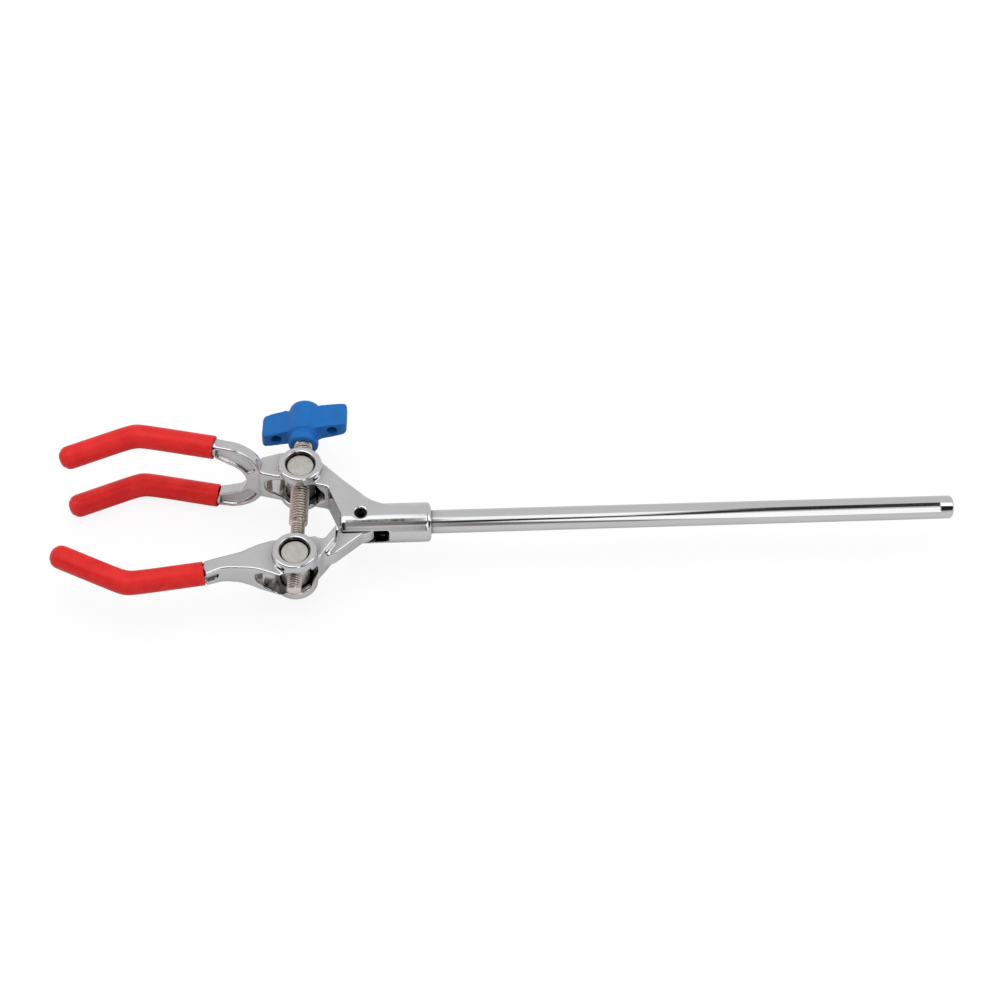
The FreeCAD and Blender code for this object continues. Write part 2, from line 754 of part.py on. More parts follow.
def make_knob():
    """The moulded wing knob: a turned hub with two tapered wings, tilted about the screw."""
    body = new_body("wing_knob")
    start = S["knob_stand_off"]
    wing_start = start + S["knob_nose_length"]
    end = start + S["knob_length"]
    hub, nose = S["knob_hub_diameter"] * HALF, S["knob_nose_diameter"] * HALF
    soft = S["knob_end_round"]
    bore = S["screw_thick_diameter"] * HALF + S["fit_gap"]
    seat = start + S["knob_bore_depth"]
    sketch = screw_sketch(body, "HubProfile")
    outline(sketch, [
        (bore, start),
        (nose, start),
        (hub, wing_start),
        (hub, end - soft),
        (hub - soft * 0.3, end - soft * 0.3),
        (hub - soft, end),
        (0, end),
        (0, seat),
        (bore, seat),
    ])
    turned(body, sketch)

    plane = doc.addObject("PartDesign::Plane", "WingPlane")
    body.addObject(plane)
    plane.AttachmentSupport = [(sketch, "")]
    plane.MapMode = "ObjectXY"
    tilt = FreeCAD.Rotation(FreeCAD.Vector(0, -1, 0), S["knob_wing_tilt"].value)
    plane.AttachmentOffset = FreeCAD.Placement(FreeCAD.Vector(), tilt)
    bind(plane, "AttachmentOffset.Rotation.Angle", S["knob_wing_tilt"] * Size(1.0, "1 deg"))
    span = S["knob_span"] * HALF
    inset = (S["knob_wing_depth"] - S["knob_wing_end_depth"]) * HALF
    for side, tag in ((1, "Right"), (-1, "Left")):
        root = wing_section(body, f"{tag}WingRoot", plane, (bore + 0.4) * side, wing_start,
                            S["knob_wing_depth"], S["knob_wing_thickness"])
        far = wing_section(body, f"{tag}WingEnd", plane, span * side, wing_start + inset * HALF,
                           S["knob_wing_end_depth"], S["knob_wing_end_thickness"])
        wing = body.newObject("PartDesign::AdditiveLoft", f"{tag}Wing")
        wing.Profile = root
        wing.Sections = [far]
        wing.Ruled = True
    doc.recompute()
    corners = wing_edges(wing.Shape, plane, span.value)
    dress(body, "Fillet", wing, corners, S["knob_wing_corner"])

    sketch = body.newObject("Sketcher::SketchObject", "WingHoles")
    sketch.AttachmentSupport = [(plane, "")]
    sketch.MapMode = "ObjectXZ"
    sketch.AttachmentOffset = FreeCAD.Placement()
    bind(sketch, "AttachmentOffset.Base.z", -wing_start)
    for side, tag in ((1, "r"), (-1, "l")):
        ring(sketch, (S["knob_hole_spread"] * HALF * side, 0), S["knob_hole_diameter"] * HALF, tag)
    extrude(body, "Pocket", sketch, S["knob_hole_depth"], both_ways=False)
    return body


def wing_section(body, name, plane, distance, start, depth, thickness):
    """A wing's rectangular section at a distance from the screw's axis."""
    sketch = body.newObject("Sketcher::SketchObject", name)
    sketch.AttachmentSupport = [(plane, "")]
    sketch.MapMode = "ObjectYZ"
    sketch.AttachmentOffset = FreeCAD.Placement()
    bind(sketch, "AttachmentOffset.Base.z", distance)
    half = thickness * HALF
    outline(sketch, [(start, -half), (start + depth, -half), (start + depth, half), (start, half)])
    return sketch


def make_sleeve(name, start, way, proximal, distal, bend_side, height):
    """A soft closed-end sleeve over a finger: a bent tube with a domed tip."""
    body = new_body(name)
    radius = S["sleeve_diameter"] * HALF
    bore = S["finger_diameter"] * HALF + S["sleeve_bore_gap"]
    spine = new_sketch(body, name + "Line", "XY_Plane", (0, 0, height))
    points = sleeve_spine(start, way, proximal, distal, bend_side, radius)
    outline(spine, points, closed=False)
    sweep(body, "AdditivePipe", name + "Outside", spine, radius)
    dome = new_sketch(
        body, name + "Dome", "XY_Plane", (*points[-1], height), ((0, 0, 1), tip_way(way, bend_side)))
    ahead = [(radius * reach, radius * across) for reach, across in DOME]
    outline(dome, [(0, 0), (0, radius)] + ahead + [(radius, 0)])
    turned(body, dome, axis="H_Axis")
    core = new_sketch(body, name + "BoreLine", "XY_Plane", (0, 0, height))
    outline(core, finger_core(
        start, way, proximal, distal, bend_side,
        shift=S["finger_collar"], short=S["finger_tip_gap"] - 0.1), closed=False)
    sweep(body, "SubtractivePipe", name + "Bore", core, bore, mitred=True)
    return body


def check_and_export(bodies):
    """Stops on any failed object or bad shape, then writes one STEP file per body."""
    doc.recompute()
    for item in doc.Objects:
        if "Invalid" in item.State or "Error" in item.State:
            raise RuntimeError(f"{item.Label} did not build: {item.State}")
    os.makedirs("parts", exist_ok=True)
    for body in bodies:
        shape = body.Shape
        if shape.isNull() or not shape.isValid():
            raise RuntimeError(f"{body.Label} has no valid shape")
        if len(shape.Solids) != 1:
            raise RuntimeError(f"{body.Label} has {len(shape.Solids)} solids")
        shape.exportStep(os.path.join("parts", body.Label + ".step"))
        box = shape.BoundBox
        print(f"{body.Label}: {shape.Volume:.1f} mm3, x {box.XMin:.1f} to {box.XMax:.1f},"
              f" y {box.YMin:.1f} to {box.YMax:.1f}, z {box.ZMin:.1f} to {box.ZMax:.1f}")


fork = (FORK_START, FORK_WAY, S["fork_proximal"], S["fork_distal"], 1)
single = (SINGLE_START, SINGLE_WAY, S["single_proximal"], S["single_distal"], -1)
check_and_export([
    make_fixed_jaw(),
    make_moving_jaw(),
    make_rod(),
    make_pin(),
    make_trunnion("upper_trunnion", FIXED_TRUNNION, S["fixed_boss_bottom"], S["screw_thick_diameter"]),
    make_trunnion("lower_trunnion", MOVING_TRUNNION, S["moving_boss_bottom"], S["screw_thin_diameter"]),
    make_screw(),
    make_knob(),
    make_sleeve("upper_finger_sleeve", *fork, S["fork_half_spread"]),
    make_sleeve("lower_finger_sleeve", *fork, -S["fork_half_spread"]),
    make_sleeve("single_finger_sleeve", *single, 0),
])
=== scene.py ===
"""The looks of a three-prong laboratory clamp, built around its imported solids.

The plated castings, the wing knob and the turned parts are refined copies of their solids.
The finger sleeves, the rod and the two-handed screw thread are surfaces worked out here.
Lengths are in millimetres in the hinge frame, whose origin is the hinge axis, with +X towards
the rod's free end, +Y towards the knob and +Z along the hinge pin; meshes are in metres.
"""

from __future__ import annotations

import json
import logging
import math
from dataclasses import dataclass, replace
from enum import Enum
from typing import Protocol

import bmesh
import bpy
import numpy as np
from mathutils import Matrix, Vector

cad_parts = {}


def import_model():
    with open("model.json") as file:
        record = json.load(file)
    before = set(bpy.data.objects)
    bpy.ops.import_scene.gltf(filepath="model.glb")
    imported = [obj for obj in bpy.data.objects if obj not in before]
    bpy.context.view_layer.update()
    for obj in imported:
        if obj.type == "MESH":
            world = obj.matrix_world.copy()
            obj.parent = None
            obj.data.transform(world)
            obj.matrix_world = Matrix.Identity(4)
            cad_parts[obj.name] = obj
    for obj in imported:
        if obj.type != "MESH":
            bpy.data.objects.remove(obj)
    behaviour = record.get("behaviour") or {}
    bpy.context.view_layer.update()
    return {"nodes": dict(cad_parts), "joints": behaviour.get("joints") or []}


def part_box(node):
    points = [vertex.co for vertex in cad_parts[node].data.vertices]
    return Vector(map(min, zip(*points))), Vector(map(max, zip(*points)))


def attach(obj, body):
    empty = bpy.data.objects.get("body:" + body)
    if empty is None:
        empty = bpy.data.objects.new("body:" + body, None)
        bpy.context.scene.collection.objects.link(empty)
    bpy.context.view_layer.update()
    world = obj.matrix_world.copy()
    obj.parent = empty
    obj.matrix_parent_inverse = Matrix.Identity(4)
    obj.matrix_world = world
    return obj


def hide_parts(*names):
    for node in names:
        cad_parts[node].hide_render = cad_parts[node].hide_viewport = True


LOG = logging.getLogger("three_prong_clamp")
MM = 0.001
# The threads' spacings are as measured on the photograph, at the model's scale.
PITCH_COARSE = 1.38
PITCH_FINE = 1.15
THREAD_DEPTH = 0.58
THREAD_ROUNDNESS = 1.3
# The part of a noise's range, and of an openness's, that is stretched over its whole effect.
NOISE_LOW, NOISE_HIGH = 0.3, 0.7
POCKET_LOW, POCKET_HIGH = 0.30, 0.90
# Points closer than these, in metres, are one point.
SOLID_MERGE = 1e-6
LOFT_MERGE = 1e-7
# A length in millimetres, below which a distance is not divided by.
LEAST_DISTANCE = 1e-6
Colour = tuple[float, float, float]


class Turn(Enum):
    """The side to which a finger's end run turns from its first run."""

    TOWARDS_KNOB = 1
    AWAY_FROM_KNOB = -1


class Hand(Enum):
    """The hand of a screw thread."""

    RIGHT = 1
    LEFT = -1


class Nodes:
    """A node tree, with short calls that add nodes to it."""

    def __init__(self, tree: bpy.types.NodeTree) -> None:
        """Keeps the tree.

        Args:
            tree: A material's or a world's node tree.
        """
        self.tree = tree

    def add(self, kind: str, values: dict[str, object] | None = None, **options: object) -> bpy.types.Node:
        """Adds a node.

        Args:
            kind: The node's type, without the ShaderNode prefix.
            values: What goes into its inputs, each a constant or another node's output.
            options: Settings of the node itself.

        Returns:
            The new node.
        """
        node = self.tree.nodes.new("ShaderNode" + kind)
        for key, option in options.items():
            setattr(node, key, option)
        for key, value in (values or {}).items():
            self.feed(node.inputs[key], value)
        return node

    def feed(self, socket: bpy.types.NodeSocket, value: object) -> None:
        """Sets an input to a constant, or links an output to it.

        Args:
            socket: The input.
            value: A constant or a node's output.
        """
        if isinstance(value, bpy.types.NodeSocket):
            self.tree.links.new(value, socket)
        else:
            socket.default_value = value

    def math(self, operation: str, first: object, second: object = 0.0) -> bpy.types.NodeSocket:
        """A sum, product or other operation on two values."""
        return self.add("Math", {0: first, 1: second}, operation=operation).outputs["Value"]

    def rise(
        self, value: object, start: object, stop: object, low: float = 0.0, high: float = 1.0
    ) -> bpy.types.NodeSocket:
        """A value that goes from low to high while the input goes from start to stop."""
        values = {"Value": value, "From Min": start, "From Max": stop, "To Min": low, "To Max": high}
        return self.add("MapRange", values).outputs["Result"]

    def mixed(self, share: object, first: object, second: object) -> bpy.types.NodeSocket:
        """Mixes two colours, each a constant or an output, by the share of the second."""
        values = {"Factor": share, "A": first, "B": second}
        return self.add("Mix", values, data_type="RGBA").outputs["Result"]


class Shader(Nodes):
    """A new material with a principled shader, and short calls for its textures."""

    def __init__(self, name: str) -> None:
        """Makes the material.

        Args:
            name: The material's name.
        """
        self.material = bpy.data.materials.new(name)
        self.material.use_nodes = True
        super().__init__(self.material.node_tree)
        self.principled = self.tree.nodes["Principled BSDF"]
        self.place = self.add("TexCoord").outputs["Object"]

    def set(self, **values: object) -> None:
        """Sets inputs of the principled shader, with underscores for spaces in their names."""
        for key, value in values.items():
            self.feed(self.principled.inputs[key.replace("_", " ")], value)

    def stretched(self, scale: Colour) -> bpy.types.NodeSocket:
        """The object coordinates scaled differently along each axis."""
        return self.add("Mapping", {"Vector": self.place, "Scale": scale}).outputs["Vector"]

    def noise(
        self, size: float, detail: float = 3.0, vector: bpy.types.NodeSocket | None = None
    ) -> bpy.types.NodeSocket:
        """A noise whose blotches are about one given size.

        Args:
            size: The blotches' size in millimetres.
            detail: The number of finer octaves on top.
            vector: The coordinates, or None for the object's own.

        Returns:
            The noise's value output.
        """
        values = {"Vector": vector or self.place, "Scale": 1 / (size * MM), "Detail": detail}
        return self.add("TexNoise", values).outputs["Fac"]

    def openness(self, reach: float) -> bpy.types.NodeSocket:
        """How freely the surface sees its surroundings within a reach, 0 deep in a hollow; the materials
        paint shade by it.
        """
        near = self.add("AmbientOcclusion", {"Distance": reach * MM}, samples=6)
        return self.rise(near.outputs["AO"], POCKET_LOW, POCKET_HIGH)

    def away_from(self, centre: tuple[float, float], start: float, stop: float) -> bpy.types.NodeSocket:
        """Rises from 0 to 1 between two distances from an axis along Z.

        Args:
            centre: The axis's X and Y, in millimetres.
            start: The distance up to which the value is 0, in millimetres.
            stop: The distance from which the value is 1, in millimetres.

        Returns:
            The value's output.
        """
        flat = self.add("VectorMath", {0: self.place, 1: (1.0, 1.0, 0.0)}, operation="MULTIPLY")
        middle = (centre[0] * MM, centre[1] * MM, 0.0)
        far = self.add("VectorMath", {0: flat.outputs["Vector"], 1: middle}, operation="DISTANCE")
        return self.rise(far.outputs["Value"], start * MM, stop * MM)

    def spread(self, value: bpy.types.NodeSocket, low: float, high: float) -> bpy.types.NodeSocket:
        """Maps the middle of a noise onto a range."""
        return self.rise(value, NOISE_LOW, NOISE_HIGH, low, high)

    def blend(self, value: bpy.types.NodeSocket, first: Colour, second: Colour) -> bpy.types.NodeSocket:
        """Mixes two colours by the middle of a noise.

        Args:
            value: The noise's value output.
            first: The colour where the noise is low.
            second: The colour where the noise is high.

        Returns:
            The colour output.
        """
        ramp = self.add("ValToRGB", {"Fac": value})
        ramp.color_ramp.elements[0].position = NOISE_LOW
        ramp.color_ramp.elements[1].position = NOISE_HIGH
        ramp.color_ramp.elements[0].color = (*first, 1)
        ramp.color_ramp.elements[1].color = (*second, 1)
        return ramp.outputs["Color"]

    def bump(
        self, height: bpy.types.NodeSocket, depth: float, strength: float = 1.0,
        below: bpy.types.NodeSocket | None = None,
    ) -> bpy.types.NodeSocket:
        """Turns a height into a surface relief.

        Args:
            height: The height, from 0 to 1.
            depth: What a height of 1 measures, in millimetres.
            strength: How much of the relief shows.
            below: The normal of a coarser relief, or None.

        Returns:
            The bump's normal output.
        """
        values = {"Height": height, "Distance": depth * MM, "Strength": strength}
        if below is not None:
            values["Normal"] = below
        return self.add("Bump", values).outputs["Normal"]


@dataclass(frozen=True)
class BrightPlate:
    """Bright nickel plate over a die casting or a drawn bar."""

    name: str
    colour: Colour = (0.79, 0.79, 0.80)
    shade: Colour = (0.74, 0.74, 0.75)
    roughness: tuple[float, float] = (0.07, 0.12)
    cloud_size: float = 6.0
    sheen_size: float = 2.5
    wave_size: float = 5.0
    wave_depth: float = 0.010
    pit_size: float = 0.35
    pit_depth: float = 0.0012
    grain: Colour = (1.0, 1.0, 1.0)
    # The colours below for pockets and creases are painted shade, laid into recesses by ambient occlusion;
    # the bores' mouths get the same painted shade.
    pocket_shade: Colour = (0.13, 0.112, 0.10)
    pocket_reach: float = 6.0
    crease_shade: Colour = (0.045, 0.040, 0.037)
    crease_reach: float = 1.1
    bores: tuple[tuple[float, float], ...] = ()
    bore_edge: tuple[float, float] = (6.45, 6.75)

    def build(self) -> bpy.types.Material:
        """Dresses the plate: slow waves and pits, and painted shade in its pockets, in its creases and
        round its bores' mouths.

        Returns:
            The material.
        """
        shader = Shader(self.name)
        place = shader.stretched(self.grain)
        cloud = shader.noise(self.cloud_size, detail=4.0, vector=place)
        sheen = shader.noise(self.sheen_size, detail=5.0, vector=place)
        # Painted shade: the plate colour gives way to dark where the surface sees little of its
        # surroundings and round each bore's mouth, and tight creases get a darker painted shade.
        open_share = shader.openness(self.pocket_reach)
        for bore in self.bores:
            open_share = shader.math("MULTIPLY", open_share, shader.away_from(bore, *self.bore_edge))
        waves = shader.bump(shader.noise(self.wave_size, detail=1.0, vector=place), self.wave_depth)
        pits = shader.bump(
            shader.noise(self.pit_size, detail=2.0, vector=place), self.pit_depth, below=waves
        )
        plate = shader.mixed(
            open_share, (*self.pocket_shade, 1), shader.blend(cloud, self.shade, self.colour)
        )
        shader.set(
            Base_Color=shader.mixed(shader.openness(self.crease_reach), (*self.crease_shade, 1), plate),
            Metallic=1.0,
            Roughness=shader.spread(sheen, *self.roughness),
            Normal=pits,
        )
        return shader.material


@dataclass(frozen=True)
class SatinSteel:
    """Turned or rolled steel with a satin, slightly mottled face."""

    name: str
    colour: Colour
    shade: Colour
    roughness: tuple[float, float]
    blotch: float = 2.2
    sheen_size: float = 0.8
    grain_size: float = 0.25
    grain_depth: float = 0.004
    # The colour below for pockets is painted shade, laid into corners by ambient occlusion.
    pocket_shade: Colour = (0.03, 0.026, 0.022)
    pocket_reach: float = 1.3

    def build(self) -> bpy.types.Material:
        """Dresses the steel with cloudy patches and fine tool marks, and paints shade into its corners.

        Returns:
            The material.
        """
        shader = Shader(self.name)
        cloud = shader.noise(self.blotch, detail=6.0)
        shader.set(
            Base_Color=shader.mixed(
                shader.openness(self.pocket_reach), (*self.pocket_shade, 1),
                shader.blend(cloud, self.shade, self.colour),
            ),
            Metallic=1.0,
            Roughness=shader.spread(shader.noise(self.sheen_size, detail=4.0), *self.roughness),
            Normal=shader.bump(shader.noise(self.grain_size, detail=3.0), self.grain_depth),
        )
        return shader.material


@dataclass(frozen=True)
class ThreadedSteel:
    """Plated screw steel, bright on the thread's crests, with brown shade painted into its valleys."""

    name: str
    crest: Colour = (0.97, 0.90, 0.83)
    dull: Colour = (0.80, 0.72, 0.65)
    # The valley colour is painted shade, mixed in by depth into the thread.
    valley: Colour = (0.20, 0.16, 0.135)
    roughness: tuple[float, float] = (0.24, 0.38)
    valley_from: float = 0.15
    valley_full: float = 0.80
    cloud_size: float = 3.0
    sheen_size: float = 2.0
    grain_size: float = 0.6
    grain_depth: float = 0.003
    attribute: str = "valley"

    def build(self) -> bpy.types.Material:
        """Paints shade into the thread's valleys by how deep each place lies.

        Returns:
            The material.
        """
        shader = Shader(self.name)
        deep = shader.add("Attribute", attribute_name=self.attribute).outputs["Fac"]
        crests = shader.blend(shader.noise(self.cloud_size, detail=4.0), self.dull, self.crest)
        shader.set(
            Base_Color=shader.mixed(
                shader.rise(deep, self.valley_from, self.valley_full), crests, (*self.valley, 1)
            ),
            Metallic=1.0,
            Roughness=shader.spread(shader.noise(self.sheen_size, detail=4.0), *self.roughness),
            Normal=shader.bump(shader.noise(self.grain_size, detail=2.0), self.grain_depth),
        )
        return shader.material


@dataclass(frozen=True)
class SoftPlastic:
    """Moulded plastic or dipped vinyl, with a faint relief and an uneven sheen."""

    name: str
    colour: Colour
    shade: Colour
    roughness: tuple[float, float]
    wave_size: float
    wave_depth: float
    grain_depth: float
    gloss: float = 0.5
    glow: float = 0.0
    glow_reach: float = 0.8
    glow_radius: Colour = (1.0, 0.25, 0.2)
    cloud_size: float = 7.0
    sheen_size: float = 3.0
    grain_size: float = 0.22

    def build(self) -> bpy.types.Material:
        """Dresses the plastic with mottled colour and sheen over a soft relief.

        Returns:
            The material.
        """
        shader = Shader(self.name)
        waves = shader.bump(shader.noise(self.wave_size, detail=2.0), self.wave_depth)
        shader.set(
            Base_Color=shader.blend(shader.noise(self.cloud_size, detail=5.0), self.shade, self.colour),
            Roughness=shader.spread(shader.noise(self.sheen_size, detail=6.0), *self.roughness),
            Normal=shader.bump(shader.noise(self.grain_size, detail=3.0), self.grain_depth, below=waves),
            Specular_IOR_Level=self.gloss,
            Subsurface_Weight=self.glow,
            Subsurface_Radius=self.glow_radius,
            Subsurface_Scale=self.glow_reach * MM,
        )
        return shader.material


CASTING = BrightPlate("bright_plate_casting")
ROD_PLATE = BrightPlate(
    "bright_plate_rod", roughness=(0.05, 0.09), wave_size=9.0, wave_depth=0.004, grain=(0.06, 1.0, 1.0)
)
TRUNNION_STEEL = SatinSteel("satin_nickel", (0.78, 0.76, 0.72), (0.64, 0.62, 0.58), (0.34, 0.52))
SCREW_STEEL = ThreadedSteel("plated_screw_steel")
# The pin is painted near black, as painted shade, so that its hole reads as shadow.
PIN_STEEL = SatinSteel("spring_steel_painted_shade", (0.035, 0.035, 0.035), (0.02, 0.02, 0.02), (0.55, 0.75))
KNOB_PLASTIC = SoftPlastic(
    "blue_moulded_plastic", (0.008, 0.150, 0.49), (0.006, 0.128, 0.43), (0.30, 0.40),
    wave_size=4.0, wave_depth=0.03, grain_depth=0.006, gloss=0.24,
)
SLEEVE_VINYL = SoftPlastic(
    "red_dipped_vinyl", (0.76, 0.022, 0.020), (0.63, 0.011, 0.010), (0.27, 0.40),
    wave_size=3.2, wave_depth=0.10, grain_depth=0.010, gloss=0.26, glow=0.05,
)


@dataclass(frozen=True)
class HingeFrame:
    """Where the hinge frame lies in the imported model."""

    x: float

    @classmethod
    def of(cls, joints: list[dict]) -> HingeFrame:
        """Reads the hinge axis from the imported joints.

        Args:
            joints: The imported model's joints.

        Returns:
            The hinge frame.
        """
        hinge = next(joint for joint in joints if joint["name"] == "jaw_pivot")
        return cls(hinge["pos_m"][0] / MM)

    def metres(self, points: np.ndarray) -> np.ndarray:
        """Points of the hinge frame, in millimetres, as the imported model's metres."""
        return (np.asarray(points, dtype=float) + [self.x, 0, 0]) * MM


@dataclass(frozen=True)
class Linkage:
    """Where the two trunnions and the screw between them lie, in the hinge frame."""

    reach: float = 34.75
    fixed_angle: float = 44.35
    moving_angle: float = 36.98

    def upper(self) -> np.ndarray:
        """The centre of the fixed jaw's trunnion."""
        angle = math.radians(self.fixed_angle)
        return self.reach * np.array([-math.cos(angle), math.sin(angle), 0.0])

    def lower(self) -> np.ndarray:
        """The centre of the moving jaw's trunnion."""
        angle = math.radians(self.moving_angle)
        return self.reach * np.array([-math.cos(angle), -math.sin(angle), 0.0])

    def axis(self) -> np.ndarray:
        """The screw's direction towards the knob, square to the angle between the trunnions."""
        lean = math.radians((self.fixed_angle - self.moving_angle) / 2)
        return np.array([math.sin(lean), math.cos(lean), 0.0])


LINKAGE = Linkage()


class Buildable(Protocol):
    """What each piece of the clamp can do."""

    def build(self) -> bpy.types.Object:
        """Builds the finished piece."""


def joined_copy(node: str, suffix: str, flat_angle: float | None = None) -> bpy.types.Mesh:
    """A copy of a solid's mesh with its loose triangles joined.

    Args:
        node: The solid's node.
        suffix: What the copy's name adds to the node's.
        flat_angle: Faces that meet at less than this angle, in degrees, become one; None keeps all.

    Returns:
        The copy.
    """
    mesh = bpy.data.meshes.new(node + suffix)
    joined = bmesh.new()
    joined.from_mesh(bpy.data.objects[node].data)
    bmesh.ops.remove_doubles(joined, verts=joined.verts, dist=SOLID_MERGE)
    if flat_angle is not None:
        bmesh.ops.dissolve_limit(
            joined, angle_limit=math.radians(flat_angle), verts=joined.verts, edges=joined.edges
        )
    joined.to_mesh(mesh)
    joined.free()
    return mesh


def new_object(name: str, mesh: bpy.types.Mesh) -> bpy.types.Object:
    """Links a mesh to the scene as a smooth-shaded object at the origin.

    Args:
        name: The piece's name.
        mesh: Its mesh, in metres.

    Returns:
        The object.
    """
    mesh.shade_smooth()
    piece = bpy.data.objects.new(name, mesh)
    bpy.context.scene.collection.objects.link(piece)
    return piece


def lofted(name: str, rings: np.ndarray) -> bpy.types.Mesh:
    """Skins a stack of closed rings with quads, and closes a ring that shrinks to a point.

    Quad (i, j) joins ring i to ring i + 1 between points j and j + 1, counted round the ring.
    Its corners run so that the faces point outwards where the rings turn counter-clockwise
    about the direction of the stack.

    Args:
        name: The mesh's name.
        rings: Points in metres, shaped (rings, points round, 3).

    Returns:
        The closed mesh.
    """
    rows, columns = rings.shape[:2]
    index = np.arange(rows * columns).reshape(rows, columns)
    after = np.roll(index, -1, axis=1)
    quads = np.stack([index[:-1], after[:-1], after[1:], index[1:]], axis=-1).reshape(-1, 4)
    mesh = bpy.data.meshes.new(name)
    mesh.vertices.add(rows * columns)
    mesh.vertices.foreach_set("co", rings.reshape(-1))
    mesh.loops.add(quads.size)
    mesh.loops.foreach_set("vertex_index", quads.reshape(-1))
    mesh.polygons.add(len(quads))
    mesh.polygons.foreach_set("loop_start", np.arange(0, quads.size, 4))
    mesh.update(calc_edges=True)
    tidy = bmesh.new()
    tidy.from_mesh(mesh)
    bmesh.ops.remove_doubles(tidy, verts=tidy.verts, dist=LOFT_MERGE)
    bmesh.ops.recalc_face_normals(tidy, faces=tidy.faces)
    tidy.to_mesh(mesh)
    tidy.free()
    mesh.validate()
    return mesh


def turned_rings(profile: np.ndarray, origin: np.ndarray, axis: np.ndarray, count: int) -> np.ndarray:
    """The rings of a profile turned round an axis.

    Ring i has its centre at origin + s_i axis and the radius r_i, so its point at the angle a
    is origin + s_i axis + r_i (cos a u + sin a v), with u and v square to the axis.

    Args:
        profile: Rows of (distance along the axis, radius).
        origin: The axis's start.
        axis: Its unit direction.
        count: The number of points round each ring.

    Returns:
        Points shaped (rows, count, 3).
    """
    side = np.cross([0.0, 0.0, 1.0], axis)
    side /= np.linalg.norm(side)
    up = np.cross(axis, side)
    angles = np.linspace(0, 2 * math.pi, count, endpoint=False)
    circle = np.cos(angles)[:, None] * side + np.sin(angles)[:, None] * up
    centres = origin + profile[:, :1] * axis
    return centres[:, None, :] + profile[:, 1][:, None, None] * circle


def eased(distance: np.ndarray, start: float, reach: float) -> np.ndarray:
    """Rises from 0 at start to 1 at start + reach, as 3 x^2 - 2 x^3 of the share x of the reach."""
    share = np.clip((distance - start) / reach, 0, 1)
    return share * share * (3 - 2 * share)


def fitted(
    piece: bpy.types.Object, finish: bpy.types.Material, node: str, body: str
) -> bpy.types.Object:
    """Dresses a piece and puts it in the place of its solid.

    Args:
        piece: The piece, with its final mesh.
        finish: Its material.
        node: The solid that it stands for.
        body: The body that it rides on.

    Returns:
        The same piece.
    """
    piece.data.materials.clear()
    piece.data.materials.append(finish)
    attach(piece, body)
    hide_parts(node)
    LOG.info("%s: %d faces", piece.name, len(piece.data.polygons))
    return piece


@dataclass
class RefinedSolid:
    """A copy of a solid, with its edges rounded as a casting's or a moulding's are."""

    node: str
    body: str
    slot: str
    finish: BrightPlate | SatinSteel | SoftPlastic
    voxel: float
    rounding: float
    face_limit: int = 180000

    def reshape(self, points: np.ndarray) -> np.ndarray:
        """Moves the fine cells' points, in metres, before they are relaxed; here not at all."""
        return points

    def build(self) -> bpy.types.Object:
        """Remeshes the copy in small cells and relaxes it, which rounds its edges.

        Each pass moves a vertex halfway to the mean of its neighbours. After n passes an edge
        is rounded over about cell * sqrt(n) / 2, which gives the number of passes.

        Returns:
            The finished piece.
        """
        piece = new_object(self.node + "_finished", joined_copy(self.node, "_copy"))
        cells = piece.modifiers.new("cells", "REMESH")
        cells.mode = "VOXEL"
        cells.voxel_size = self.voxel * MM
        self.apply(piece)
        points = np.empty(len(piece.data.vertices) * 3)
        piece.data.vertices.foreach_get("co", points)
        moved = self.reshape(points.reshape(-1, 3))
        piece.data.vertices.foreach_set("co", moved.reshape(-1))
        piece.data.update()
        relax = piece.modifiers.new("relax", "SMOOTH")
        relax.factor = 0.5
        relax.iterations = max(1, round((2 * self.rounding / self.voxel) ** 2))
        self.apply(piece)
        triangles = 2 * len(piece.data.polygons)
        if triangles > self.face_limit:
            thin = piece.modifiers.new("thin", "DECIMATE")
            thin.ratio = self.face_limit / triangles
            self.apply(piece)
        piece.data.shade_smooth()
        return fitted(piece, self.finish.build(), self.node, self.body)

    def apply(self, piece: bpy.types.Object) -> None:
        """Gives the piece the mesh that its modifiers make, and removes them.

        Args:
            piece: The piece.
        """
        graph = bpy.context.evaluated_depsgraph_get()
        mesh = bpy.data.meshes.new_from_object(piece.evaluated_get(graph))
        piece.modifiers.clear()
        piece.data = mesh


